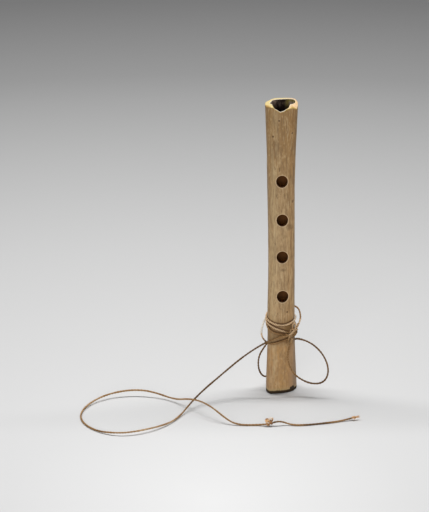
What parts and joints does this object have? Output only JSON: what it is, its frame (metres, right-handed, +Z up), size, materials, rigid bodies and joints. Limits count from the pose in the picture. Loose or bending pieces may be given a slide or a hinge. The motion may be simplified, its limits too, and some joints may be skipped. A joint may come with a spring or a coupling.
{
  "type": "bone flute",
  "caption": "Upright end-blown bone flute with finger holes and a notched lip; a thin twisted cord is wound round its foot, hangs in two bights and trails in a knotted end.",
  "frame": {"origin": "middle of the bone's bounding box on the plane that its foot stands on; the cord is left out of that box", "axes": "+Z up along the bone from foot to lip, -Y to the front where the finger holes and the notch are, +X to the right as seen from the front"},
  "size_m": [0.1458, 0.0662, 0.16],
  "materials": {
    "bone": "old limb bone, hand-polished, brown patina, cream at the worn lip",
    "cord": "two-ply twisted plant fibre, matt, tan to grey brown"
  },
  "bodies": {
    "root": {"bone_tube": "bone", "cord_winding": "cord", "cord_bights": "cord", "lashing_knot": "cord", "cord_run": "cord", "stopper_knot": "cord", "cord_tail": "cord", "tip_knot": "cord"}
  },
  "joints": []
}
